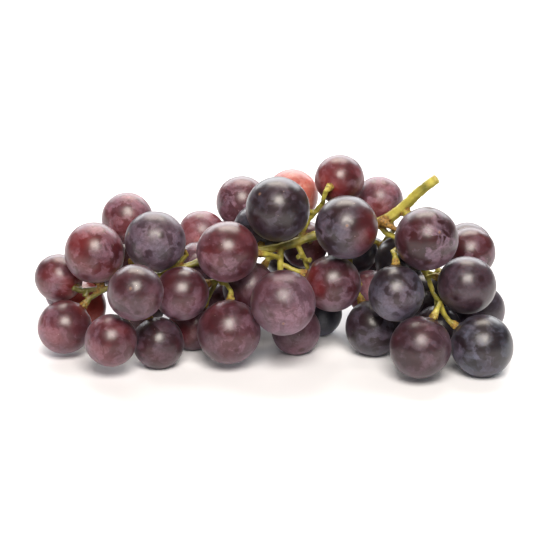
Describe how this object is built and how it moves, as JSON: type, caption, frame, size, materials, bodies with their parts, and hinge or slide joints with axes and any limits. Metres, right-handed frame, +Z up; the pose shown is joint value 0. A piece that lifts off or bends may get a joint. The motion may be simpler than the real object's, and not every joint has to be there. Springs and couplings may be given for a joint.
{
  "type": "bunch of grapes",
  "caption": "Loose bunch of round red to blue-black grapes on a branched green stem, lying on its side with the cut stalk sticking up.",
  "frame": {"origin": "on the surface that the bunch lies on, under the middle of its box", "axes": "+X along the bunch, towards the cut end of the stalk; +Z up, off the surface; +Y from the pictured side to the back"},
  "size_m": [0.1838, 0.0992, 0.0734],
  "materials": {
    "berry_skin_red": "wine-red skin, semi-gloss under a patchy waxy bloom",
    "berry_skin_purple": "purple skin, semi-gloss under a patchy waxy bloom",
    "berry_skin_dark": "blue-black skin, semi-gloss under a patchy waxy bloom",
    "stem_green": "fresh yellow-green stem with brown cork at forks and collars"
  },
  "bodies": {
    "root": {"stem": "stem_green", "berry_rachis_1": "berry_skin_dark", "berry_rachis_2": "berry_skin_dark", "berry_rachis_3": "berry_skin_red", "berry_rachis_4": "berry_skin_dark", "berry_rachis_5": "berry_skin_red", "berry_rachis_6": "berry_skin_red", "berry_rachis_7": "berry_skin_red", "berry_rachis_8": "berry_skin_red", "berry_wing_1": "berry_skin_purple", "berry_wing_2": "berry_skin_dark", "berry_wing_3": "berry_skin_purple", "berry_wing_4": "berry_skin_red", "berry_wing_5": "berry_skin_dark", "berry_wing_6": "berry_skin_dark", "berry_wing_back_1": "berry_skin_red", "berry_wing_back_2": "berry_skin_dark", "berry_wing_back_3": "berry_skin_purple", "berry_wing_back_4": "berry_skin_dark", "berry_wing_back_5": "berry_skin_dark", "berry_wing_back_6": "berry_skin_dark", "berry_wing_back_7": "berry_skin_purple", "berry_shoulder_1": "berry_skin_red", "berry_shoulder_2": "berry_skin_dark", "berry_waist_1": "berry_skin_dark", "berry_waist_2": "berry_skin_dark", "berry_waist_3": "berry_skin_red", "berry_waist_4": "berry_skin_dark", "berry_crown_1": "berry_skin_red", "berry_crown_2": "berry_skin_red", "berry_crown_3": "berry_skin_dark", "berry_inner_1": "berry_skin_dark", "berry_inner_2": "berry_skin_dark", "berry_heart_1": "berry_skin_purple", "berry_heart_2": "berry_skin_red", "berry_heart_3": "berry_skin_purple", "berry_heart_4": "berry_skin_purple", "berry_back_1": "berry_skin_red", "berry_back_2": "berry_skin_purple", "berry_back_3": "berry_skin_dark", "berry_back_4": "berry_skin_purple", "berry_back_5": "berry_skin_purple", "berry_back_6": "berry_skin_dark", "berry_back_7": "berry_skin_red", "berry_front_1": "berry_skin_red", "berry_front_2": "berry_skin_purple", "berry_front_3": "berry_skin_purple", "berry_flank_1": "berry_skin_purple", "berry_flank_2": "berry_skin_red", "berry_flank_3": "berry_skin_purple", "berry_rear_1": "berry_skin_red", "berry_rear_2": "berry_skin_red", "berry_rear_3": "berry_skin_purple", "berry_rear_4": "berry_skin_red", "berry_low_1": "berry_skin_red", "berry_low_2": "berry_skin_purple"}
  },
  "joints": []
}
